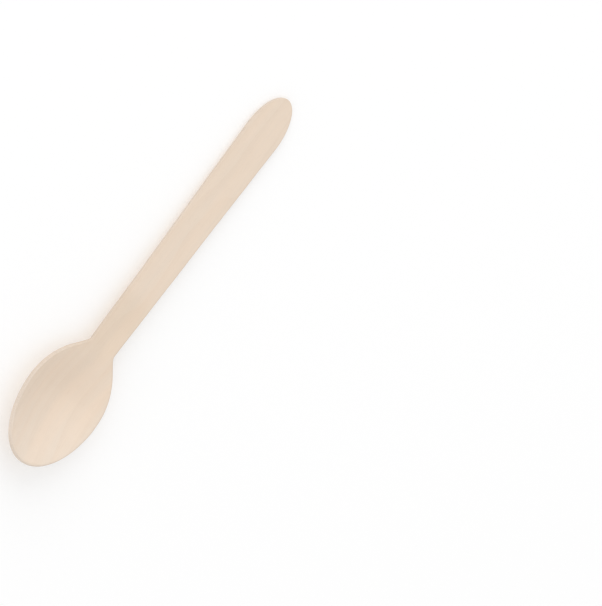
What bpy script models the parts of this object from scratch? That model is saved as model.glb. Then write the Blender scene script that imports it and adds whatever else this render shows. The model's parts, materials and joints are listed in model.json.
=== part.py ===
"""A disposable wooden spoon, stamped from one sheet of birch veneer and pressed hot between two dies.

The sheet keeps its thickness everywhere. The dies dish the bowl, run a shallow channel out through
the neck and tip the rim of the bowl up against the flat handle. Bowl, neck and handle are one piece.

The shape is worked out in the plan of the sheet: x runs from the tip of the bowl to the end of the
handle, y across, and z = 0 is the upper face of the flat handle. The finished spoon then lies down
as it would on a table, on the bottom of its bowl and on the end of its handle, with +X towards the
handle and the origin under the middle of its box.
"""

import math

import bmesh
import bpy
import numpy as np

# Driving dimensions, in metres
LENGTH = 0.160
THICKNESS = 0.0017
EDGE_ROUNDING = 0.0004

BOWL_LENGTH = 0.048
BOWL_WIDTH = 0.033
BOWL_DEPTH = 0.0065
TIP_TO_WIDEST = 0.025

NECK_WIDTH = 0.0117
CHANNEL_DEPTH = 0.0006
CHANNEL_RUNOUT = 0.026
BEND_LENGTH = 0.024
RIM_TILT = math.radians(2.7)

HANDLE_END_WIDTH = 0.0158
HANDLE_ROUNDING_LENGTH = 0.016

# The flank runs from the widest place to the neck. Each share says how far along it the curve holds
# the direction that it has at that end.
FLANK_FULLNESS = 0.64
NECK_TIGHTNESS = 0.12

# The rounding of the two edges may take this share of the veneer each, so that a flat band is left
LARGEST_ROUNDING = 0.45

# Faces along each stretch of the outline, and from the middle line to the rim. The first stretch of
# the handle, where the bend and the channel run out, is curved along its length.
TIP_STEPS = 18
FLANK_STEPS = 22
RUNOUT_STEPS = 8
HANDLE_STEPS = 4
END_STEPS = 14
RINGS = 10
EDGE_SEGMENTS = 3
SHARP_EDGE = math.radians(60)
MERGE_DISTANCE = 1e-6
PROFILE_SAMPLES = 400

# Bare birch, as the photograph shows it, in linear values
BIRCH_COLOUR = (0.799, 0.658, 0.540, 1.0)
BIRCH_ROUGHNESS = 0.62


def clear_scene():
    for found in list(bpy.data.objects):
        bpy.data.objects.remove(found, do_unlink=True)


def smoothstep(share):
    share = np.clip(share, 0.0, 1.0)
    return share * share * (3.0 - 2.0 * share)


def quarter_ellipse(centre_x, reach, half_width, steps):
    """Points from the side of an ellipse, square to its centre, round to its end on the middle line."""
    turn = np.linspace(0.0, math.pi / 2, steps + 1)
    return np.column_stack((centre_x + reach * np.sin(turn), half_width * np.cos(turn)))


def bezier(start, start_pull, end_pull, end, steps):
    share = np.linspace(0.0, 1.0, steps + 1)[:, None]
    rest = 1.0 - share
    near_start = rest**3 * start + 3 * rest**2 * share * start_pull
    near_end = 3 * rest * share**2 * end_pull + share**3 * end
    return near_start + near_end


def half_outline():
    """One half of the sheet's outline, from the bowl's tip to the end of the handle."""
    end_start = LENGTH - HANDLE_ROUNDING_LENGTH
    widest = np.array((TIP_TO_WIDEST, BOWL_WIDTH / 2))
    neck = np.array((BOWL_LENGTH, NECK_WIDTH / 2))
    handle_end = np.array((end_start, HANDLE_END_WIDTH / 2))

    flank_length = BOWL_LENGTH - TIP_TO_WIDEST
    along_axis = np.array((1.0, 0.0))
    along_edge = (handle_end - neck) / (handle_end - neck)[0]
    full = widest + along_axis * flank_length * FLANK_FULLNESS
    tight = neck - along_edge * flank_length * NECK_TIGHTNESS

    runout_length = max(BEND_LENGTH / 2, CHANNEL_RUNOUT)
    flat_from = neck + along_edge * runout_length

    tip = quarter_ellipse(TIP_TO_WIDEST, -TIP_TO_WIDEST, BOWL_WIDTH / 2, TIP_STEPS)[::-1]
    flank = bezier(widest, full, tight, neck, FLANK_STEPS)
    runout = np.linspace(neck, flat_from, RUNOUT_STEPS + 1)
    edge = np.linspace(flat_from, handle_end, HANDLE_STEPS + 1)
    end = quarter_ellipse(end_start, HANDLE_ROUNDING_LENGTH, HANDLE_END_WIDTH / 2, END_STEPS)
    return np.concatenate((tip, flank[1:], runout[1:], edge[1:], end[1:]))


def rim_height(x):
    """Height of the rim over the plane of the handle: flat, then a bend at the neck, then a slope."""
    half_bend = BEND_LENGTH / 2
    past_neck = BOWL_LENGTH - x
    in_bend = np.clip(past_neck + half_bend, 0.0, BEND_LENGTH)
    past_bend = np.maximum(past_neck - half_bend, 0.0)
    return math.tan(RIM_TILT) * (in_bend**2 / (2 * BEND_LENGTH) + past_bend)


def pressed_depth(x, rim_share):
    """Depth below the rim, with walls that straighten towards the rim.

    The bowl's floor rises to the neck. There a shallow channel is left, which runs out up the handle.
    """
    bowl_rise = smoothstep((BOWL_LENGTH - x) / (BOWL_LENGTH - TIP_TO_WIDEST))
    channel = CHANNEL_DEPTH * smoothstep((BOWL_LENGTH + CHANNEL_RUNOUT - x) / CHANNEL_RUNOUT)
    floor = (BOWL_DEPTH - CHANNEL_DEPTH) * bowl_rise + channel
    return floor * np.cos(rim_share * math.pi / 2)


def pressed_face():
    """The upper face of the sheet's half with y over 0, as an open mesh.

    A flat grid is wrapped onto the outline: its columns start on the middle line and end at the rim,
    and they fan out around both round ends, so every row runs parallel to the rim.
    """
    outline = half_outline()
    columns = len(outline) - 1
    mesh = bmesh.new()
    bmesh.ops.create_grid(mesh, x_segments=columns, y_segments=RINGS, size=1.0)
    for vertex in mesh.verts:
        column = round((vertex.co.x + 1) / 2 * columns)
        rim_share = (vertex.co.y + 1) / 2
        rim_x, rim_y = outline[column]
        middle_x = min(max(rim_x, TIP_TO_WIDEST), LENGTH - HANDLE_ROUNDING_LENGTH)
        x = middle_x + (rim_x - middle_x) * rim_share
        vertex.co = (x, rim_y * rim_share, rim_height(x) - pressed_depth(x, rim_share))
    bmesh.ops.remove_doubles(mesh, verts=mesh.verts, dist=MERGE_DISTANCE)
    bmesh.ops.recalc_face_normals(mesh, faces=mesh.faces)
    if sum(face.normal.z for face in mesh.faces) < 0:
        bmesh.ops.reverse_faces(mesh, faces=mesh.faces)
    data = bpy.data.meshes.new("spoon")
    mesh.to_mesh(data)
    mesh.free()
    data.shade_smooth()
    return data


def birch():
    material = bpy.data.materials.new("birch")
    material.use_nodes = True
    surface = material.node_tree.nodes["Principled BSDF"]
    surface.inputs["Base Color"].default_value = BIRCH_COLOUR
    surface.inputs["Roughness"].default_value = BIRCH_ROUGHNESS
    surface.inputs["Metallic"].default_value = 0.0
    return material


def edge_rounding():
    return min(EDGE_ROUNDING, LARGEST_ROUNDING * THICKNESS)


def pressed_spoon():
    """The half face mirrored, given the veneer's thickness downwards, with both rims rounded."""
    spoon = bpy.data.objects.new("spoon", pressed_face())
    spoon.data.materials.append(birch())

    mirror = spoon.modifiers.new("other half", "MIRROR")
    mirror.use_axis = (False, True, False)
    mirror.merge_threshold = MERGE_DISTANCE

    veneer = spoon.modifiers.new("veneer", "SOLIDIFY")
    veneer.thickness = THICKNESS
    veneer.offset = -1.0
    veneer.use_even_offset = True
    veneer.use_quality_normals = True

    tumbled = spoon.modifiers.new("tumbled edge", "BEVEL")
    tumbled.width = edge_rounding()
    tumbled.segments = EDGE_SEGMENTS
    tumbled.limit_method = "ANGLE"
    tumbled.angle_limit = SHARP_EDGE
    return spoon


def rest_tilt():
    """How far the handle slopes down to its end when the bowl's bottom and that end touch a table."""
    x = np.linspace(0.0, BOWL_LENGTH, PROFILE_SAMPLES)
    z = rim_height(x) - pressed_depth(x, 0.0)
    slope = np.arctan(np.gradient(z, x))
    under_x = x + THICKNESS * np.sin(slope)
    under_z = z - THICKNESS * np.cos(slope)
    heel_x = LENGTH - edge_rounding()
    return float(np.max(np.arctan((-THICKNESS - under_z) / (heel_x - under_x))))


def lay_down(spoon):
    """Turns the spoon into its resting pose and centres the foot of its box on the origin."""
    spoon.rotation_euler = (0.0, rest_tilt(), 0.0)
    bpy.context.view_layer.update()
    evaluated = spoon.evaluated_get(bpy.context.evaluated_depsgraph_get())
    mesh = evaluated.to_mesh()
    corners = [evaluated.matrix_world @ vertex.co for vertex in mesh.vertices]
    evaluated.to_mesh_clear()
    low = np.min(corners, axis=0)
    high = np.max(corners, axis=0)
    spoon.location = (-(low[0] + high[0]) / 2, 0.0, -low[2])


def main():
    clear_scene()
    collection = bpy.data.collections.new("wooden spoon")
    bpy.context.scene.collection.children.link(collection)
    spoon = pressed_spoon()
    collection.objects.link(spoon)
    lay_down(spoon)


main()
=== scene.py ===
# %% [markdown]
# # A pressed wooden spoon
#
# This notebook dresses one disposable spoon. A factory peels a birch log into a long sheet of veneer,
# stamps spoon blanks out of it, tumbles them until their edges are soft, and presses them hot so that
# the bowl stands out of the flat sheet. The cells below follow the same order: blank, tumbling, press,
# and then the finish of the bare wood, the floor, the light and the camera.
#
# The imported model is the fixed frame. Everything here is measured against it, in metres.

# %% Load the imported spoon
import json
import math

import bmesh
import bpy
import numpy as np
from mathutils import Matrix, Vector


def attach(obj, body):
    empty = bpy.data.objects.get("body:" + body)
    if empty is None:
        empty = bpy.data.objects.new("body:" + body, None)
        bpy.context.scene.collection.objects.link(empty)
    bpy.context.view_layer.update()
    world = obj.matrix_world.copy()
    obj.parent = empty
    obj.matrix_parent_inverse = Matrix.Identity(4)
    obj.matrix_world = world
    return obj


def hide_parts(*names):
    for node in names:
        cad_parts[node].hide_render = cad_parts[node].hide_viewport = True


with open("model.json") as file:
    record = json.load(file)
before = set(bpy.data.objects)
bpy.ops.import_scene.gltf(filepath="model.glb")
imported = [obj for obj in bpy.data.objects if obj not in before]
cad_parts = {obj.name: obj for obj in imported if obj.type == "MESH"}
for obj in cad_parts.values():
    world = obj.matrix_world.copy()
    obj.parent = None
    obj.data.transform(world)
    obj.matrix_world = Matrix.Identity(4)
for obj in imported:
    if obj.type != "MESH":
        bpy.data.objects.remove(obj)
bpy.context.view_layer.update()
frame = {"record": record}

# %% [markdown]
# The spoon lies on the bottom of its bowl and on the end of its handle, so its handle slopes a little.
# The frame already says by how much: the record has a mount on the handle's flat upper face, and that
# mount's axis is the handle's own upward direction. It is safer to read the slope there than to type an
# angle again, because the two could then disagree.

# %% Read the handle's direction from the mount
handle_mount = frame["record"]["mounts"][0]
handle_up = Vector(handle_mount["axis"]).normalized()
handle_slope = math.atan2(handle_up.x, handle_up.z)
handle_along = Vector((math.cos(handle_slope), 0.0, -math.sin(handle_slope)))
print("handle slopes down by", round(math.degrees(handle_slope), 2), "degrees")

# %% [markdown]
# The blank is described by a handful of sizes, the same ones that its cutting die has. x runs from the
# tip of the bowl to the end of the handle, y across, and z = 0 is the upper face of the sheet.

# %% Sizes of the blank and of the press
LENGTH = 0.160
THICKNESS = 0.0017
EDGE_ROUNDING = 0.0004

BOWL_LENGTH = 0.048
BOWL_WIDTH = 0.033
BOWL_DEPTH = 0.0065
TIP_TO_WIDEST = 0.025

NECK_WIDTH = 0.0117
CHANNEL_DEPTH = 0.0006
CHANNEL_RUNOUT = 0.026
BEND_LENGTH = 0.024
RIM_TILT = math.radians(2.7)

HANDLE_END_WIDTH = 0.0158
HANDLE_ROUNDING_LENGTH = 0.016
HANDLE_END_START = LENGTH - HANDLE_ROUNDING_LENGTH

FLANK_FULLNESS = 0.64
NECK_TIGHTNESS = 0.12

print("bowl", round(1000 * BOWL_LENGTH), "mm of the sheet's", round(1000 * LENGTH), "mm")

# %% [markdown]
# Half of the outline is four stretches laid end to end: a quarter of an ellipse round the tip, a Bezier
# curve down the flank into the neck, the straight edge of the handle, and a quarter of an ellipse round
# its end. A formula for each stretch keeps the curve smooth however finely it is sampled, which a list
# of measured points would not. The flank's two shares say how far along it the curve holds the direction
# that it has at the widest place and at the neck.

# %% Outline of the blank
TIP_STEPS = 40
FLANK_STEPS = 56
HANDLE_STEPS = 60
END_STEPS = 34


def quarter_ellipse(centre_x, reach, half_width, steps):
    turn = np.linspace(0.0, math.pi / 2, steps + 1)
    return np.column_stack((centre_x + reach * np.sin(turn), half_width * np.cos(turn)))


def bezier(start, start_pull, end_pull, end, steps):
    share = np.linspace(0.0, 1.0, steps + 1)[:, None]
    rest = 1.0 - share
    near_start = rest**3 * start + 3 * rest**2 * share * start_pull
    near_end = 3 * rest * share**2 * end_pull + share**3 * end
    return near_start + near_end


def half_outline():
    widest = np.array((TIP_TO_WIDEST, BOWL_WIDTH / 2))
    neck = np.array((BOWL_LENGTH, NECK_WIDTH / 2))
    handle_end = np.array((HANDLE_END_START, HANDLE_END_WIDTH / 2))
    flank_length = BOWL_LENGTH - TIP_TO_WIDEST
    along_edge = (handle_end - neck) / (handle_end - neck)[0]
    full = widest + np.array((flank_length * FLANK_FULLNESS, 0.0))
    tight = neck - along_edge * flank_length * NECK_TIGHTNESS
    tip = quarter_ellipse(TIP_TO_WIDEST, -TIP_TO_WIDEST, BOWL_WIDTH / 2, TIP_STEPS)[::-1]
    flank = bezier(widest, full, tight, neck, FLANK_STEPS)
    edge = np.linspace(neck, handle_end, HANDLE_STEPS + 1)
    end = quarter_ellipse(HANDLE_END_START, HANDLE_ROUNDING_LENGTH, HANDLE_END_WIDTH / 2, END_STEPS)
    return np.concatenate((tip, flank[1:], edge[1:], end[1:]))


outline = half_outline()
print("outline points on one side:", len(outline))

# %% [markdown]
# The flat blank starts as one plain grid that is wrapped onto half of the outline. Columns of the grid
# start on the middle line and end at the rim, and they fan out around both round ends, so every row
# runs parallel to the rim. That matters for the rounded edge: a bevel only comes out even where the
# faces next to it run alongside. The last row keeps a fixed distance from the rim for the same reason,
# and it holds the shading of the flat faces away from the rounding.
#
# Mirror, Solidify and Bevel then do what the factory does: the other half, the sheet's thickness, and
# the hours in the tumbling drum that take the sharpness off both edges.

# %% Stamp the flat blank
RINGS = 22
SUPPORT_INSET = 0.00065
EDGE_SEGMENTS = 5
MERGE_DISTANCE = 1e-6
SHARP_EDGE = math.radians(60)


def stamped_half():
    columns = len(outline) - 1
    blank = bmesh.new()
    bmesh.ops.create_grid(blank, x_segments=columns, y_segments=RINGS, size=1.0)
    for vertex in blank.verts:
        column = round((vertex.co.x + 1) / 2 * columns)
        ring = round((vertex.co.y + 1) / 2 * RINGS)
        rim = Vector((*outline[column], 0.0))
        middle = Vector((min(max(rim.x, TIP_TO_WIDEST), HANDLE_END_START), 0.0, 0.0))
        reach = (rim - middle).length
        inner_share = (reach - SUPPORT_INSET) / reach * ring / (RINGS - 1)
        vertex.co = middle.lerp(rim, 1.0 if ring == RINGS else inner_share)
    bmesh.ops.remove_doubles(blank, verts=blank.verts, dist=MERGE_DISTANCE)
    bmesh.ops.recalc_face_normals(blank, faces=blank.faces)
    if sum(face.normal.z for face in blank.faces) < 0:
        bmesh.ops.reverse_faces(blank, faces=blank.faces)
    mesh = bpy.data.meshes.new("stamped_half")
    blank.to_mesh(mesh)
    blank.free()
    return mesh


def with_modifiers_applied(source, name):
    evaluated = source.evaluated_get(bpy.context.evaluated_depsgraph_get())
    mesh = bpy.data.meshes.new_from_object(evaluated)
    mesh.name = name
    bpy.data.objects.remove(source)
    return mesh


def tumbled_blank():
    blank = bpy.data.objects.new("blank", stamped_half())
    bpy.context.scene.collection.objects.link(blank)
    other_half = blank.modifiers.new("other half", "MIRROR")
    other_half.use_axis = (False, True, False)
    other_half.merge_threshold = MERGE_DISTANCE
    veneer = blank.modifiers.new("veneer", "SOLIDIFY")
    veneer.thickness = THICKNESS
    veneer.offset = -1.0
    tumbling = blank.modifiers.new("tumbling", "BEVEL")
    tumbling.width = EDGE_ROUNDING
    tumbling.segments = EDGE_SEGMENTS
    tumbling.limit_method = "ANGLE"
    tumbling.angle_limit = SHARP_EDGE
    return with_modifiers_applied(blank, "wooden_spoon")


spoon_mesh = tumbled_blank()
print("flat blank:", len(spoon_mesh.vertices), "points,", len(spoon_mesh.polygons), "faces")

# %% [markdown]
# Wood is a solid with its own grain, and pressing bends that grain along with the sheet. So the place
# that each point had in the flat blank is kept on the mesh, as an attribute that the materials read
# later. A texture laid by the finished shape would cut through the bowl as if it had been carved.
#
# Which faces belong to the cut edge is also easiest to tell while the sheet is flat, because there they
# stand upright.

# %% Keep the flat sheet's own coordinates
flat = np.empty(len(spoon_mesh.vertices) * 3, np.float32)
spoon_mesh.vertices.foreach_get("co", flat)
flat = flat.reshape(-1, 3).astype(np.float64)
sheet_place = spoon_mesh.attributes.new("sheet_place", "FLOAT_VECTOR", "POINT")
sheet_place.data.foreach_set("vector", flat.astype(np.float32).ravel())

EDGE_FACES_BELOW = 0.7
face_up = np.array([abs(face.normal.z) for face in spoon_mesh.polygons])
print("faces on the cut edge:", int((face_up < EDGE_FACES_BELOW).sum()))

# %% [markdown]
# Two things on a real spoon keep to its rim: the fibres that the die crushed just inside it, and the
# arris that the tumbling rubbed smooth. Both need to know how far a point lies from the rim, so that
# distance is stored on the mesh as well.

# %% Keep each point's distance from the rim
def distance_to_outline(points):
    closed = np.concatenate((outline, (outline * (1, -1))[::-1][1:]))
    start, step = closed[:-1], np.diff(closed, axis=0)
    length = (step**2).sum(axis=1)
    nearest = np.empty(len(points))
    for index, point in enumerate(points):
        share = np.clip(((point - start) * step).sum(axis=1) / length, 0.0, 1.0)
        gap = point - start - step * share[:, None]
        nearest[index] = (gap**2).sum(axis=1).min()
    return np.sqrt(nearest)


rim_distance = distance_to_outline(flat[:, :2])
from_rim = spoon_mesh.attributes.new("from_rim", "FLOAT", "POINT")
from_rim.data.foreach_set("value", rim_distance.astype(np.float32))
print("furthest from the rim, mm:", round(1000 * rim_distance.max(), 2))

# %% [markdown]
# The two dies are one height over the plan of the sheet. A share of 0 on the middle line to 1 at the rim
# drives a cosine, which gives a round floor and walls that straighten towards the rim. Along the spoon,
# the floor rises to the neck, where a shallow channel is left that runs out up the handle, and the rim
# of the bowl bends up from the handle's plane. The length of that channel shows in the picture as a
# soft shade on one side of the handle, well past the neck.

# %% Shape of the dies
def smoothstep(share):
    share = np.clip(share, 0.0, 1.0)
    return share * share * (3.0 - 2.0 * share)


def share_to_rim(x, y):
    in_tip = np.hypot((TIP_TO_WIDEST - x) / TIP_TO_WIDEST, y / (BOWL_WIDTH / 2))
    past_tip = np.abs(y) / np.interp(x, outline[:-1, 0], outline[:-1, 1])
    return np.where(x < TIP_TO_WIDEST, in_tip, past_tip)


def rim_height(x):
    past_neck = BOWL_LENGTH - x
    in_bend = np.clip(past_neck + BEND_LENGTH / 2, 0.0, BEND_LENGTH)
    past_bend = np.maximum(past_neck - BEND_LENGTH / 2, 0.0)
    return math.tan(RIM_TILT) * (in_bend**2 / (2 * BEND_LENGTH) + past_bend)


def die_height(x, y):
    bowl_rise = smoothstep((BOWL_LENGTH - x) / (BOWL_LENGTH - TIP_TO_WIDEST))
    channel = CHANNEL_DEPTH * smoothstep((BOWL_LENGTH + CHANNEL_RUNOUT - x) / CHANNEL_RUNOUT)
    floor = (BOWL_DEPTH - CHANNEL_DEPTH) * bowl_rise + channel
    return rim_height(x) - floor * np.cos(share_to_rim(x, y) * math.pi / 2)


print("deepest point, mm:", round(1000 * float(die_height(TIP_TO_WIDEST, 0.0)), 2))

# %% [markdown]
# No two spoons of a batch are quite alike. The die leaves an edge that wanders by a few hundredths of a
# millimetre, and a thin sheet keeps a trace of the log's curl after the press. A few long waves on top
# of each other give both, small enough that the size stays true and large enough that light runs over
# the surface unevenly. Their directions and phases come from a seeded draw, so every run is the same.
# With this seed the drawn edge stays inside the box of the solid, which not every draw does.

# %% Unevenness of a real blank
EDGE_WANDER = 0.000015
EDGE_WANDER_LENGTH = 0.009
CURL = 0.00005
CURL_LENGTH = 0.045
WAVES = 9
SPREAD_OF_LENGTHS = 0.45

SEED = 111

draw = np.random.default_rng(SEED)


def drift(points, wavelength, amount):
    """Smooth waves over the sheet's plan, about as high as the amount."""
    heading = draw.uniform(0.0, 2 * math.pi, WAVES)
    phase = draw.uniform(0.0, 2 * math.pi, WAVES)
    length = wavelength * draw.uniform(1 - SPREAD_OF_LENGTHS, 1 + SPREAD_OF_LENGTHS, WAVES)
    steps = np.array((np.cos(heading), np.sin(heading))) / length
    return amount * np.sin(2 * math.pi * (points @ steps) + phase).sum(axis=1) * math.sqrt(2 / WAVES)


uneven = flat.copy()
uneven[:, 0] += drift(flat[:, :2], EDGE_WANDER_LENGTH, EDGE_WANDER)
uneven[:, 1] += drift(flat[:, :2], EDGE_WANDER_LENGTH, EDGE_WANDER)
curl = drift(flat[:, :2], CURL_LENGTH, CURL)
print("curl from", round(1e6 * curl.min()), "to", round(1e6 * curl.max()), "micrometres")

# %% [markdown]
# Pressing moves each point to the die's height and carries it down along the die's normal by its depth
# in the sheet. That is what keeps the veneer equally thick on the floor of the bowl and on its walls.
# The pressed sheet then lies down: it turns by the slope of the handle and settles with its lowest
# point on the floor and its box centred over the origin, as the solid in the frame does.

# %% Press the blank and lay it down
NORMAL_STEP = 0.00002


def pressed(places, lift):
    x, y, depth = places.T
    fall_x = (die_height(x + NORMAL_STEP, y) - die_height(x - NORMAL_STEP, y)) / (2 * NORMAL_STEP)
    fall_y = (die_height(x, y + NORMAL_STEP) - die_height(x, y - NORMAL_STEP)) / (2 * NORMAL_STEP)
    normal = np.column_stack((-fall_x, -fall_y, np.ones_like(x)))
    normal /= np.linalg.norm(normal, axis=1)[:, None]
    face = np.column_stack((x, y, die_height(x, y) + lift))
    return face + normal * depth[:, None]


def laid_down(places):
    turn = np.array(Matrix.Rotation(handle_slope, 3, "Y"))
    turned = places @ turn.T
    low, high = turned.min(axis=0), turned.max(axis=0)
    return turned - ((low[0] + high[0]) / 2, (low[1] + high[1]) / 2, low[2])


settled = laid_down(pressed(uneven, curl))
spoon_mesh.vertices.foreach_set("co", settled.astype(np.float32).ravel())
spoon_mesh.shade_smooth()
spoon_mesh.update()

spoon = bpy.data.objects.new("wooden_spoon", spoon_mesh)
bpy.context.scene.collection.objects.link(spoon)
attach(spoon, "root")
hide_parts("spoon")
print("pressed spoon, mm:", (1000 * (settled.max(axis=0) - settled.min(axis=0))).round(2))

# %% [markdown]
# Birch is pale and nearly plain, so its finish is a matter of small things on top of each other. All of
# them come from the flat sheet's coordinates and are made with shader nodes. Placing those one by one is
# long-winded, so a few helpers come first. Most of them add one step to a node tree and give back the
# socket that it fills. Where they need a number, they take either a socket or a plain value.

# %% Add nodes and join them
def add_node(tree, kind, **settings):
    node = tree.nodes.new(kind)
    for name, value in settings.items():
        setattr(node, name, value)
    return node


def feed(tree, socket, source):
    if isinstance(source, bpy.types.NodeSocket):
        tree.links.new(source, socket)
    else:
        socket.default_value = source


print("nodes can be added and joined")

# %% [markdown]
# Most of a finish is sums: a start value and so much of this and so much of that. With those written as
# (value, amount) pairs, each finish below reads like a recipe.

# %% Sums and products
def calculate(tree, operation, *values):
    node = add_node(tree, "ShaderNodeMath", operation=operation)
    for socket, value in zip(node.inputs, values):
        feed(tree, socket, value)
    return node.outputs[0]


def total(tree, start, *terms):
    """start plus each (value, amount) of the terms."""
    result = start
    for value, amount in terms:
        result = calculate(tree, "MULTIPLY_ADD", value, amount, result)
    return result


def scaled(tree, vector, factors):
    node = add_node(tree, "ShaderNodeVectorMath", operation="MULTIPLY")
    feed(tree, node.inputs[0], vector)
    feed(tree, node.inputs[1], factors)
    return node.outputs[0]


def components(tree, vector):
    node = add_node(tree, "ShaderNodeSeparateXYZ")
    feed(tree, node.inputs[0], vector)
    return node.outputs


print("values can be combined")

# %% [markdown]
# Wood grain is noise that has been drawn out along one direction. A place that is first scaled by
# different factors along, across and through the sheet gives exactly that. A fade turns any measure
# into a soft mask.

# %% Noise and fades
def cloud(tree, place, detail=2.0, roughness=0.5):
    """Smooth noise about 0, from roughly -1 to 1."""
    node = add_node(tree, "ShaderNodeTexNoise", noise_dimensions="3D", normalize=False)
    feed(tree, node.inputs["Vector"], place)
    node.inputs["Scale"].default_value = 1.0
    node.inputs["Detail"].default_value = detail
    node.inputs["Roughness"].default_value = roughness
    return node.outputs["Fac"]


def fade(tree, value, empty, full):
    """0 where the value is at empty, 1 where it is at full, and smooth between them."""
    node = add_node(tree, "ShaderNodeMapRange", interpolation_type="SMOOTHSTEP")
    feed(tree, node.inputs["Value"], value)
    feed(tree, node.inputs["From Min"], empty)
    feed(tree, node.inputs["From Max"], full)
    return node.outputs["Result"]


print("noise and fades ready")

# %% [markdown]
# Colours work in the same way: one mixes towards another by a share, or is made brighter. Blender's Mix
# node has sockets for numbers, vectors and colours side by side, and 6 and 7 are its two colours.

# %% Colours
def mixed(tree, share, first, second):
    node = add_node(tree, "ShaderNodeMix", data_type="RGBA", blend_type="MIX", clamp_factor=True)
    feed(tree, node.inputs[0], share)
    feed(tree, node.inputs[6], first)
    feed(tree, node.inputs[7], second)
    return node.outputs[2]


def brightened(tree, colour, gain):
    node = add_node(tree, "ShaderNodeVectorMath", operation="SCALE")
    feed(tree, node.inputs[0], colour)
    feed(tree, node.inputs["Scale"], gain)
    return node.outputs[0]


print("colours can be mixed")

# %% [markdown]
# The knife that peels a log runs nearly along the year rings, so on the sheet they open into long
# arches. Late in its year the wood is a little darker, and it drops back where the next year starts.
# Numbers of waves are given per millimetre: along the grain, across it, and in the depth of the sheet.

# %% Year rings
RING_WARP = (0.011, 0.045, 0.3)
RINGS_ACROSS = 0.21
RINGS_IN_DEPTH = 0.37
RING_WANDER = 1.5
LATE_WOOD_FROM, LATE_WOOD_FULL = 0.35, 0.96


def year_rings(tree, place):
    split = components(tree, place)
    wander = calculate(tree, "MULTIPLY", cloud(tree, scaled(tree, place, RING_WARP)), RING_WANDER)
    years = total(tree, wander, (split["Y"], RINGS_ACROSS), (split["Z"], RINGS_IN_DEPTH))
    year = calculate(tree, "FRACT", years)
    late_wood = fade(tree, year, LATE_WOOD_FROM, LATE_WOOD_FULL)
    return calculate(tree, "MULTIPLY", late_wood, fade(tree, year, 1.0, LATE_WOOD_FULL))


print("years across the bowl:", round(RINGS_ACROSS * BOWL_WIDTH * 1000, 1))

# %% [markdown]
# Birch has no rings of large pores. Its vessels are fine and lie all through the wood, and the knife
# opens them as short dark lines. A random lattice that is stretched along the grain gives one such line
# in each of its cells, and each cell draws how strong its own is.

# %% Vessels
VESSELS = (0.24, 4.4, 4.4)
FINE_VESSELS = (0.42, 8.5, 8.5)
VESSEL_WALL, VESSEL_HEART = 0.32, 0.14
FINE_WALL, FINE_HEART = 0.36, 0.16
FINE_VESSEL_SHARE = 0.5


def scattered(tree, place, empty, full, rarest=0.0, commonest=1.0):
    """One small body in each cell of a random lattice: up to 1 at its heart, 0 outside it.

    Each cell draws a number from 0 to 1. Its body is missing below rarest and whole above commonest.
    """
    cells = add_node(tree, "ShaderNodeTexVoronoi", feature="F1", distance="EUCLIDEAN")
    feed(tree, cells.inputs["Vector"], place)
    cells.inputs["Scale"].default_value = 1.0
    drawn = add_node(tree, "ShaderNodeSeparateColor")
    feed(tree, drawn.inputs[0], cells.outputs["Color"])
    body = fade(tree, cells.outputs["Distance"], empty, full)
    return calculate(tree, "MULTIPLY", body, fade(tree, drawn.outputs["Red"], rarest, commonest))


def open_vessels(tree, place):
    wide = scattered(tree, scaled(tree, place, VESSELS), VESSEL_WALL, VESSEL_HEART)
    narrow = scattered(tree, scaled(tree, place, FINE_VESSELS), FINE_WALL, FINE_HEART)
    return total(tree, wide, (narrow, FINE_VESSEL_SHARE))


print("one wide vessel every", round(1 / VESSELS[0], 1), "mm along the grain")

# %% [markdown]
# The wood of this spoon changes its tone slowly along its length, as a peeled sheet does from one part
# of the log to the next. In the picture the stretch from the neck to a fifth of the way up the handle
# is a few parts in a hundred darker and warmer, and the tip is the palest. A little noise keeps the
# change from following a straight line across the sheet. Places are in millimetres from the tip.

# %% Tone along the sheet
WARM_FROM, WARM_WHOLE, WARM_UNTIL, WARM_GONE = 40.0, 50.0, 64.0, 75.0
PALE_WHOLE, PALE_GONE = 8.0, 36.0
TONE_WANDER = (0.03, 0.35, 0.5)
WANDER_REACH = 2.5
NO_TINT = (1.0, 1.0, 1.0, 1.0)
WARM_TINT = (0.965, 0.953, 0.932, 1.0)
PALE_TINT = (0.994, 1.013, 1.036, 1.0)


def tone_along_sheet(tree, place):
    wander = cloud(tree, scaled(tree, place, TONE_WANDER))
    along = total(tree, components(tree, place)["X"], (wander, WANDER_REACH))
    beginning = fade(tree, along, WARM_FROM, WARM_WHOLE)
    end = fade(tree, along, WARM_GONE, WARM_UNTIL)
    tint = mixed(tree, calculate(tree, "MULTIPLY", beginning, end), NO_TINT, WARM_TINT)
    return mixed(tree, fade(tree, along, PALE_GONE, PALE_WHOLE), tint, PALE_TINT)


print("warmest between", WARM_WHOLE, "and", WARM_UNTIL, "mm from the tip")

# %% [markdown]
# One node group holds the whole grain, because the faces and the cut edge are the same piece of wood.
# It is a solid texture: long lines on the faces become small dots where the grain is cut across. Its
# further layers are broad streaks, the fibres in two sizes, and a soft ripple across the grain. The
# ripple is a sheen: in the faces' roughness it is real, and in their colour it is painted sheen.

# %% The grain of peeled birch
FLOAT, VECTOR, COLOUR = "NodeSocketFloat", "NodeSocketVector", "NodeSocketColor"
PER_METRE = (1000.0, 1000.0, 1000.0)
STREAKS = (0.006, 0.16, 0.5)
FIBRES = (0.11, 5.5, 5.5)
FINE_FIBRES = (0.4, 16.0, 16.0)
RIPPLE = (0.16, 0.055, 0.2)
STREAK_DETAIL = 3.0
FIBRE_DETAIL, FIBRE_ROUGHNESS = 3.0, 0.6
FINE_FIBRE_DETAIL, FINE_FIBRE_SHARE = 1.0, 0.5


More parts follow.
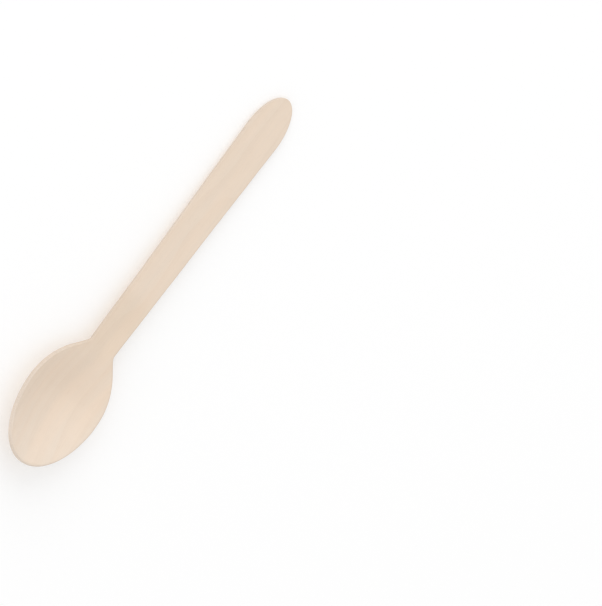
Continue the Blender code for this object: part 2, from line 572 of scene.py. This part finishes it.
def birch_grain_group():
    group = bpy.data.node_groups.new("birch_grain", "ShaderNodeTree")
    group.interface.new_socket("Sheet place", in_out="INPUT", socket_type=VECTOR)
    for label in ("Figure", "Streaks", "Fibres", "Vessels", "Ripple"):
        group.interface.new_socket(label, in_out="OUTPUT", socket_type=FLOAT)
    group.interface.new_socket("Tint", in_out="OUTPUT", socket_type=COLOUR)
    start, end = group.nodes.new("NodeGroupInput"), group.nodes.new("NodeGroupOutput")

    place = scaled(group, start.outputs["Sheet place"], PER_METRE)
    coarse = cloud(group, scaled(group, place, FIBRES), FIBRE_DETAIL, FIBRE_ROUGHNESS)
    fine = cloud(group, scaled(group, place, FINE_FIBRES), FINE_FIBRE_DETAIL)
    feed(group, end.inputs["Figure"], year_rings(group, place))
    feed(group, end.inputs["Streaks"], cloud(group, scaled(group, place, STREAKS), STREAK_DETAIL))
    feed(group, end.inputs["Fibres"], total(group, coarse, (fine, FINE_FIBRE_SHARE)))
    feed(group, end.inputs["Vessels"], open_vessels(group, place))
    feed(group, end.inputs["Ripple"], cloud(group, scaled(group, place, RIPPLE)))
    feed(group, end.inputs["Tint"], tone_along_sheet(group, place))
    return group


birch_grain = birch_grain_group()
print("grain group has", len(birch_grain.nodes), "nodes")

# %% [markdown]
# Both finishes start with the same two things: the grain at their place in the sheet, and how far they
# lie from the rim. Attribute nodes read what the mesh kept when the blank was still flat. How much each
# layer of the grain changes a finish is written as a small table, which one helper adds up.

# %% Read the mesh's own measures in a material
def kept_on_mesh(tree, name):
    return add_node(tree, "ShaderNodeAttribute", attribute_type="GEOMETRY", attribute_name=name).outputs


def grain_at(tree, place):
    grain = add_node(tree, "ShaderNodeGroup", node_tree=birch_grain)
    feed(tree, grain.inputs["Sheet place"], place)
    return grain.outputs


def by_grain(tree, start, grain, amounts):
    return total(tree, start, *((grain[layer], amount) for layer, amount in amounts.items()))


def bumped(tree, height, distance, strength):
    node = add_node(tree, "ShaderNodeBump")
    feed(tree, node.inputs["Height"], height)
    node.inputs["Distance"].default_value = distance
    node.inputs["Strength"].default_value = strength
    return node.outputs["Normal"]


def new_material(name):
    material = bpy.data.materials.new(name)
    material.use_nodes = True
    return material, material.node_tree, material.node_tree.nodes["Principled BSDF"]


print("kept on the mesh:", [attribute.name for attribute in spoon_mesh.attributes][-2:])

# %% [markdown]
# In the drum the spoons rub on each other at their edges, which leaves the rounded arris smoother. The
# same masks carry painted shade along the arris, and painted light on it round the tip of the bowl,
# whose edge leans away from the light. Both finishes use them, so it is one node group, and each of them
# sets how far from the rim its own arris reaches.

# %% Wear from the tumbling, with painted shade and painted light on the arris
TIP_LIGHT_WHOLE, TIP_LIGHT_GONE = 0.008, 0.020


def wear_and_painted_light_group():
    group = bpy.data.node_groups.new("wear_and_painted_light", "ShaderNodeTree")
    inputs = (("Sheet place", VECTOR), ("From rim", FLOAT), ("Untouched at", FLOAT), ("Arris full at", FLOAT))
    for label, kind in inputs:
        group.interface.new_socket(label, in_out="INPUT", socket_type=kind)
    for label in ("Worn and shaded arris", "Tip", "Lit tip arris"):
        group.interface.new_socket(label, in_out="OUTPUT", socket_type=FLOAT)
    start, end = group.nodes.new("NodeGroupInput"), group.nodes.new("NodeGroupOutput")

    measure = start.outputs
    # The arris mask carries real smoothing and painted shade; round the tip it carries painted light.
    on_arris = fade(group, measure["From rim"], measure["Untouched at"], measure["Arris full at"])
    along = components(group, measure["Sheet place"])["X"]
    at_tip = fade(group, along, TIP_LIGHT_GONE, TIP_LIGHT_WHOLE)
    feed(group, end.inputs["Worn and shaded arris"], on_arris)
    feed(group, end.inputs["Tip"], at_tip)
    feed(group, end.inputs["Lit tip arris"], calculate(group, "MULTIPLY", on_arris, at_tip))
    return group


wear_and_painted_light = wear_and_painted_light_group()


def wear_and_painted_light_at(tree, place, from_rim, untouched, on_arris):
    wear_and_light = add_node(tree, "ShaderNodeGroup", node_tree=wear_and_painted_light)
    feed(tree, wear_and_light.inputs["Sheet place"], place)
    feed(tree, wear_and_light.inputs["From rim"], from_rim)
    wear_and_light.inputs["Untouched at"].default_value = untouched
    wear_and_light.inputs["Arris full at"].default_value = on_arris
    return wear_and_light.outputs


print("wear group has", len(wear_and_painted_light.nodes), "nodes")

# %% [markdown]
# The peeling knife lifts the sheet off the log over a tight bend, which opens hair cracks on the side
# that faced the log, all of them along the grain. Where the press then stretches that side, at the
# bottom of the bowl, they can just be seen from below. The upper face has none.

# %% Hair cracks under the bowl
CRACKS = (120.0, 6500.0, 0.0)
CRACK_SIDE, CRACK_HEART = 0.40, 0.16
MISSING_CRACKS, ALL_CRACKS = 0.86, 0.97
STRETCHED_FROM, STRETCHED_FULL = 0.003, 0.010
LOWER_HALF, LOWER_FACE = -0.5 * THICKNESS, -0.9 * THICKNESS


def hair_cracks(tree, place, from_rim):
    split = components(tree, place)
    in_bowl = fade(tree, split["X"], BOWL_LENGTH, TIP_TO_WIDEST)
    inside = fade(tree, from_rim, STRETCHED_FROM, STRETCHED_FULL)
    stretched = calculate(tree, "MULTIPLY", in_bowl, inside)
    below = fade(tree, split["Z"], LOWER_HALF, LOWER_FACE)
    lines = scattered(
        tree, scaled(tree, place, CRACKS), CRACK_SIDE, CRACK_HEART, MISSING_CRACKS, ALL_CRACKS
    )
    return calculate(tree, "MULTIPLY", lines, calculate(tree, "MULTIPLY", stretched, below))


print("cracks are", round(1000 / CRACKS[0], 1), "mm long")

# %% [markdown]
# The faces of the veneer are what the hot press leaves: smooth, dry and slightly burnished, with no
# varnish. Their colour is one pale cream that the grain lightens and darkens by a few parts in a
# hundred, a little warmer in the late wood of each year. Close to the rim the die has crushed the
# fibres. The rounded arris is painted a little darker as shade, and paler as painted light at the tip
# of the bowl. The bump stays within hundredths of a millimetre.

# %% Finish of the pressed faces
BIRCH = (0.806, 0.676, 0.552, 1.0)
LATE_WOOD = (0.745, 0.580, 0.440, 1.0)
WARM_STREAK = (0.835, 0.672, 0.530, 1.0)
VESSEL_LINE = (0.610, 0.450, 0.320, 1.0)
CRACK_LINE = (0.470, 0.335, 0.225, 1.0)

CRUSHED_FROM, CRUSHED_FULL = 0.0011, 0.0005
ARRIS_FROM, ARRIS_FULL = 0.00050, 0.00022
LATE_WOOD_SHARE = 0.20
WARM_SHARE, WARM_SHARE_SWING = 0.25, 0.50
VESSEL_SHARE = 0.17
CRACK_SHARE = 0.50

# The ripple's share of the brightness is painted sheen; its share of the roughness is real.
FACE_BRIGHTNESS = {"Streaks": 0.014, "Fibres": 0.022, "Ripple": 0.009}
FACE_ROUGHNESS = {"Fibres": 0.05, "Ripple": 0.03, "Vessels": 0.10}
FACE_HEIGHT = {"Fibres": 0.5, "Figure": 0.5, "Vessels": -0.8}
PRESSED_ROUGHNESS = 0.56
CRUSHED_DARKER, CRUSHED_ROUGHER = -0.018, 0.06
# Painted shade on the rounded arris, and painted light on it at the tip of the bowl.
ARRIS_PAINTED_SHADE, TIP_ARRIS_PAINTED_LIGHT = -0.042, 0.030
CRACK_ROUGHER, CRACK_DEPTH = 0.2, -2.0
FACE_RELIEF, FACE_RELIEF_STRENGTH = 0.00003, 0.55


def pressed_face_material():
    material, tree, surface = new_material("pressed_birch")
    place = kept_on_mesh(tree, "sheet_place")["Vector"]
    from_rim = kept_on_mesh(tree, "from_rim")["Fac"]
    grain = grain_at(tree, place)
    crushed = fade(tree, from_rim, CRUSHED_FROM, CRUSHED_FULL)
    wear_and_light = wear_and_painted_light_at(tree, place, from_rim, ARRIS_FROM, ARRIS_FULL)
    cracks = hair_cracks(tree, place, from_rim)

    late = calculate(tree, "MULTIPLY", grain["Figure"], LATE_WOOD_SHARE)
    warm = total(tree, WARM_SHARE, (grain["Streaks"], WARM_SHARE_SWING))
    vessels = calculate(tree, "MULTIPLY", grain["Vessels"], VESSEL_SHARE)
    wood = mixed(tree, late, BIRCH, LATE_WOOD)
    wood = mixed(tree, warm, wood, WARM_STREAK)
    wood = mixed(tree, vessels, wood, VESSEL_LINE)
    wood = mixed(tree, calculate(tree, "MULTIPLY", cracks, CRACK_SHARE), wood, CRACK_LINE)
    gain = by_grain(tree, 1.0, grain, FACE_BRIGHTNESS)
    gain = total(tree, gain, (crushed, CRUSHED_DARKER))
    # Painted shade along the arris, and painted light on it at the tip.
    gain = total(tree, gain, (wear_and_light["Worn and shaded arris"], ARRIS_PAINTED_SHADE), (wear_and_light["Lit tip arris"], TIP_ARRIS_PAINTED_LIGHT))
    feed(tree, surface.inputs["Base Color"], brightened(tree, scaled(tree, wood, grain["Tint"]), gain))

    roughness = by_grain(tree, PRESSED_ROUGHNESS, grain, FACE_ROUGHNESS)
    roughness = total(tree, roughness, (crushed, CRUSHED_ROUGHER), (cracks, CRACK_ROUGHER))
    feed(tree, surface.inputs["Roughness"], roughness)
    height = total(tree, by_grain(tree, 0.0, grain, FACE_HEIGHT), (cracks, CRACK_DEPTH))
    feed(tree, surface.inputs["Normal"], bumped(tree, height, FACE_RELIEF, FACE_RELIEF_STRENGTH))
    return material


pressed_birch = pressed_face_material()
print("made", pressed_birch.name, "with", len(pressed_birch.node_tree.nodes), "nodes")

# %% [markdown]
# The die goes through the sheet in two ways at once. It slices the first third of the thickness clean,
# and then the rest tears off along the line. So the lower part of the edge is rougher, and fine marks
# run straight down it. At the tip and at the handle's end the die cuts across the fibres, and their
# open ends look a touch darker. Which way the edge faces tells that, because x is the grain direction.

# %% Finish of the cut edge
CUT_BIRCH = (0.772, 0.650, 0.541, 1.0)
END_GRAIN = (0.690, 0.562, 0.450, 1.0)
DIE_MARKS = (2600.0, 2600.0, 160.0)
TEAR_FROM, TEAR_FULL = -0.0004, -0.0008
EDGE_ARRIS_FULL = 0.00022
ALONG_GRAIN, ACROSS_GRAIN = 0.25, 0.95

END_GRAIN_SHARE = 0.18
LATE_EDGE_SHARE = 0.30
EDGE_VESSEL_SHARE = 0.28
EDGE_BRIGHTNESS = {"Streaks": 0.02, "Fibres": 0.05}
EDGE_ROUGHNESS = {"Fibres": 0.06}
EDGE_HEIGHT = {"Fibres": 0.8, "Vessels": -1.0}
CUT_ROUGHNESS = 0.66
MARKS_SHOW, TORN_DARKER = 0.05, -0.010
# Painted shade on the edge's rounded arris, and painted light on the edge round the tip of the bowl.
EDGE_ARRIS_PAINTED_SHADE, EDGE_TIP_PAINTED_LIGHT = -0.035, 0.070
TORN_ROUGHER, WORN_SMOOTHER = 0.14, -0.05
CLEAN_MARKS, TORN_MARKS = 0.4, 1.2
EDGE_RELIEF, EDGE_RELIEF_STRENGTH = 0.00005, 0.7


def cut_edge_material():
    material, tree, surface = new_material("cut_birch")
    place = kept_on_mesh(tree, "sheet_place")["Vector"]
    grain = grain_at(tree, place)
    wear_and_light = wear_and_painted_light_at(tree, place, kept_on_mesh(tree, "from_rim")["Fac"], 0.0, EDGE_ARRIS_FULL)
    torn = fade(tree, components(tree, place)["Z"], TEAR_FROM, TEAR_FULL)
    marks = cloud(tree, scaled(tree, place, DIE_MARKS))
    facing = components(tree, add_node(tree, "ShaderNodeNewGeometry").outputs["Normal"])
    across = fade(tree, calculate(tree, "ABSOLUTE", facing["X"]), ALONG_GRAIN, ACROSS_GRAIN)

    ends = calculate(tree, "MULTIPLY", across, END_GRAIN_SHARE)
    late = calculate(tree, "MULTIPLY", grain["Figure"], LATE_EDGE_SHARE)
    vessels = calculate(tree, "MULTIPLY", grain["Vessels"], EDGE_VESSEL_SHARE)
    wood = mixed(tree, ends, CUT_BIRCH, END_GRAIN)
    wood = mixed(tree, late, wood, LATE_WOOD)
    wood = mixed(tree, vessels, wood, VESSEL_LINE)
    gain = by_grain(tree, 1.0, grain, EDGE_BRIGHTNESS)
    gain = total(tree, gain, (marks, MARKS_SHOW), (torn, TORN_DARKER))
    # Painted shade along the arris, and painted light on the edge round the tip.
    gain = total(tree, gain, (wear_and_light["Worn and shaded arris"], EDGE_ARRIS_PAINTED_SHADE), (wear_and_light["Tip"], EDGE_TIP_PAINTED_LIGHT))
    feed(tree, surface.inputs["Base Color"], brightened(tree, scaled(tree, wood, grain["Tint"]), gain))

    roughness = by_grain(tree, CUT_ROUGHNESS, grain, EDGE_ROUGHNESS)
    roughness = total(tree, roughness, (torn, TORN_ROUGHER), (wear_and_light["Worn and shaded arris"], WORN_SMOOTHER))
    feed(tree, surface.inputs["Roughness"], roughness)
    mark_height = calculate(tree, "MULTIPLY", marks, total(tree, CLEAN_MARKS, (torn, TORN_MARKS)))
    height = by_grain(tree, mark_height, grain, EDGE_HEIGHT)
    feed(tree, surface.inputs["Normal"], bumped(tree, height, EDGE_RELIEF, EDGE_RELIEF_STRENGTH))
    return material


cut_birch = cut_edge_material()
print("made", cut_birch.name, "with", len(cut_birch.node_tree.nodes), "nodes")

# %% [markdown]
# A face belongs to the cut edge when it stood nearly upright in the flat blank. The rounding of the
# arris is shared out between the two finishes by the same rule, at half of its turn.

# %% Give each face its finish
spoon_mesh.materials.append(pressed_birch)
spoon_mesh.materials.append(cut_birch)
on_edge = face_up < EDGE_FACES_BELOW
spoon_mesh.polygons.foreach_set("material_index", on_edge.astype(np.int32))
print("faces with the edge's finish:", int(on_edge.sum()), "of", len(on_edge))

# %% [markdown]
# The floor is plain white. A white floor that is lit at a plain level still comes out slightly grey, so
# its material adds the missing part as light that only the camera sees. The shadow stays, because that
# share is a small one. Far from the spoon the lamp reaches the floor less, and there the added part
# grows, so that no edge of the floor shows against the white behind it.
#
# The picture shows no floor under the spoon and light on all sides of it, so light that has bounced
# goes through this floor to the bright room below. Seen from below the floor is clear.

# %% Floor
FLOOR_SIZE = 12.0
FLOOR_WHITE = (0.90, 0.90, 0.90, 1.0)
FLOOR_LIFT = 0.11
FAR_LIFT = 0.08
FAR_FROM, FAR_FULL = 0.5, 3.0


def floor_material():
    material, tree, surface = new_material("white_floor")
    surface.inputs["Base Color"].default_value = FLOOR_WHITE
    surface.inputs["Roughness"].default_value = 1.0
    surface.inputs["Specular IOR Level"].default_value = 0.0

    rays = add_node(tree, "ShaderNodeLightPath")
    ground = add_node(tree, "ShaderNodeNewGeometry")
    away = add_node(tree, "ShaderNodeVectorMath", operation="LENGTH")
    feed(tree, away.inputs[0], ground.outputs["Position"])
    far = fade(tree, away.outputs["Value"], FAR_FROM, FAR_FULL)
    seen = calculate(tree, "MAXIMUM", rays.outputs["Is Camera Ray"], rays.outputs["Is Glossy Ray"])
    lift = calculate(tree, "MULTIPLY", seen, total(tree, FLOOR_LIFT, (far, FAR_LIFT)))
    glow = add_node(tree, "ShaderNodeEmission")
    feed(tree, glow.inputs["Strength"], lift)
    lifted = add_node(tree, "ShaderNodeAddShader")
    feed(tree, lifted.inputs[0], surface.outputs["BSDF"])
    feed(tree, lifted.inputs[1], glow.outputs["Emission"])

    open_way = calculate(tree, "MAXIMUM", ground.outputs["Backfacing"], rays.outputs["Is Diffuse Ray"])
    clear = add_node(tree, "ShaderNodeBsdfTransparent")
    floor_or_clear = add_node(tree, "ShaderNodeMixShader")
    feed(tree, floor_or_clear.inputs[0], open_way)
    feed(tree, floor_or_clear.inputs[1], lifted.outputs[0])
    feed(tree, floor_or_clear.inputs[2], clear.outputs[0])
    feed(tree, tree.nodes["Material Output"].inputs["Surface"], floor_or_clear.outputs[0])
    return material


def make_floor():
    plan = bmesh.new()
    bmesh.ops.create_grid(plan, x_segments=1, y_segments=1, size=FLOOR_SIZE / 2)
    mesh = bpy.data.meshes.new("floor")
    plan.to_mesh(mesh)
    plan.free()
    mesh.materials.append(floor_material())
    floor = bpy.data.objects.new("floor", mesh)
    bpy.context.scene.collection.objects.link(floor)


make_floor()
print("floor of", FLOOR_SIZE, "m laid")

# %% [markdown]
# The light in the picture is wide and even, a little stronger from the top of the picture: the wall of
# the bowl that faces away from there is the darkest part, and the wall across from it the brightest.
# A bright room does most of it, slightly brighter on one side and overhead, as rooms are.
#
# The cut edge round the tip leans down and away from all of that, and yet in the picture it is as bright
# as the face beside it. White surroundings do that, because they also send light back up from below. So
# the room has one more bright region, low down on the tip's side, which fades out evenly around itself.
# The world is plain white for the camera, so that low views have the same white behind them.

# %% Light of the room
ROOM_LIGHT = 0.832
ROOM_BRIGHTER_TOWARDS = (0.11, 0.10, 0.09)
BOUNCE_DIRECTION = Vector((-0.84, -0.12, -0.53)).normalized()
BOUNCE_LIGHT = 0.50
BOUNCE_FALLOFF = 2.0
SEEN_WHITE = 1.0


def towards(tree, direction):
    """1 in that direction, 0 square to it and -1 against it."""
    looking = add_node(tree, "ShaderNodeTexCoord")
    lean = add_node(tree, "ShaderNodeVectorMath", operation="DOT_PRODUCT")
    feed(tree, lean.inputs[0], looking.outputs["Generated"])
    feed(tree, lean.inputs[1], direction)
    return lean.outputs["Value"]


def make_room():
    world = bpy.data.worlds.new("bright_room")
    world.use_nodes = True
    bpy.context.scene.world = world
    tree = world.node_tree
    background = tree.nodes["Background"]
    background.inputs["Color"].default_value = (1.0, 1.0, 1.0, 1.0)
    lean = towards(tree, ROOM_BRIGHTER_TOWARDS)
    from_below = calculate(tree, "MAXIMUM", towards(tree, BOUNCE_DIRECTION), 0.0)
    bounce = calculate(tree, "POWER", from_below, BOUNCE_FALLOFF)
    room = total(tree, ROOM_LIGHT, (lean, 1.0), (bounce, BOUNCE_LIGHT))
    rays = add_node(tree, "ShaderNodeLightPath")
    strength = add_node(tree, "ShaderNodeMix", data_type="FLOAT")
    feed(tree, strength.inputs[0], rays.outputs["Is Camera Ray"])
    feed(tree, strength.inputs[2], room)
    feed(tree, strength.inputs[3], SEEN_WHITE)
    feed(tree, background.inputs["Strength"], strength.outputs[0])


make_room()
print("room light straight up:", ROOM_LIGHT + ROOM_BRIGHTER_TOWARDS[2])

# %% [markdown]
# One large soft lamp adds the rest of the direction. It stands well away and is nearly as wide as it is
# far, so its shadows have no hard line anywhere. Renders with and without it show that it gives about
# a tenth of the light that the spoon sends back.

# %% Lamp
LAMP_DIRECTION = Vector((0.64, 0.60, 0.48)).normalized()
LAMP_DISTANCE = 4.0
LAMP_SIZE = 3.4
LAMP_POWER = 32.0


def make_lamp():
    lamp_data = bpy.data.lights.new("soft_lamp", "AREA")
    lamp_data.shape = "DISK"
    lamp_data.size = LAMP_SIZE
    lamp_data.energy = LAMP_POWER
    lamp = bpy.data.objects.new("soft_lamp", lamp_data)
    lamp.location = LAMP_DIRECTION * LAMP_DISTANCE
    lamp.rotation_euler = LAMP_DIRECTION.to_track_quat("Z", "Y").to_euler()
    bpy.context.scene.collection.objects.link(lamp)
    return lamp


lamp = make_lamp()
print("lamp at", [round(value, 2) for value in lamp.location])

# %% [markdown]
# The camera stands where the picture was taken from: a little over half a metre away, looking down into
# the bowl from one side, with the spoon running up to the right. Six values say so: the distance, two
# tilts of the spoon, its angle in the picture, its scale there, and the pixel of its middle. They were
# fitted to the spoon's outline, and the camera's place and turn follow from them. The lens follows from
# the scale, so no shift is needed.

# %% Camera
PICTURE_WIDTH = 602
PICTURE_HEIGHT = 606
CAMERA_DISTANCE = 0.620
TILT_TO_BOWL = math.radians(13.47)
TILT_TO_RIM = math.radians(36.27)
SPOON_ANGLE = math.radians(53.88)
PIXELS_PER_METRE = 2834.0
MIDDLE_PIXEL = (157.6, 276.2)
SENSOR_WIDTH = 36.0


def handle_middle():
    """The middle of the blank's length, on the plane of the handle's upper face."""
    mount_place = Vector(handle_mount["pos_m"])
    middle_x = (settled[:, 0].min() + settled[:, 0].max()) / 2
    return mount_place + handle_along * ((middle_x - mount_place.x) / handle_along.x)


def make_camera():
    data = bpy.data.cameras.new("camera")
    camera = bpy.data.objects.new("camera", data)
    bpy.context.scene.collection.objects.link(camera)
    bpy.context.scene.camera = camera

    across = Vector((0.0, 1.0, 0.0))
    back = handle_up + across * math.tan(TILT_TO_RIM) - handle_along * math.tan(TILT_TO_BOWL)
    back.normalize()
    seen_along = (handle_along - back * handle_along.dot(back)).normalized()
    seen_across = back.cross(seen_along)
    right = seen_along * math.cos(SPOON_ANGLE) - seen_across * math.sin(SPOON_ANGLE)
    up = seen_along * math.sin(SPOON_ANGLE) + seen_across * math.cos(SPOON_ANGLE)

    aside = (PICTURE_WIDTH / 2 - MIDDLE_PIXEL[0]) / PIXELS_PER_METRE
    above = (MIDDLE_PIXEL[1] - PICTURE_HEIGHT / 2) / PIXELS_PER_METRE
    camera.matrix_world = Matrix((
        (*right, 0.0), (*up, 0.0), (*back, 0.0), (0.0, 0.0, 0.0, 1.0),
    )).transposed()
    camera.location = handle_middle() + back * CAMERA_DISTANCE + right * aside + up * above

    long_side = max(PICTURE_WIDTH, PICTURE_HEIGHT)
    data.sensor_width = SENSOR_WIDTH
    data.lens = PIXELS_PER_METRE * CAMERA_DISTANCE / long_side * SENSOR_WIDTH
    data.dof.use_dof = False
    return camera


camera = make_camera()
print("camera at", [round(value, 4) for value in camera.location], "lens", round(camera.data.lens, 1))

# %% [markdown]
# Standard is the view transform that shows a colour as it is written.

# %% View settings
bpy.context.scene.view_settings.view_transform = "Standard"

bpy.context.view_layer.update()
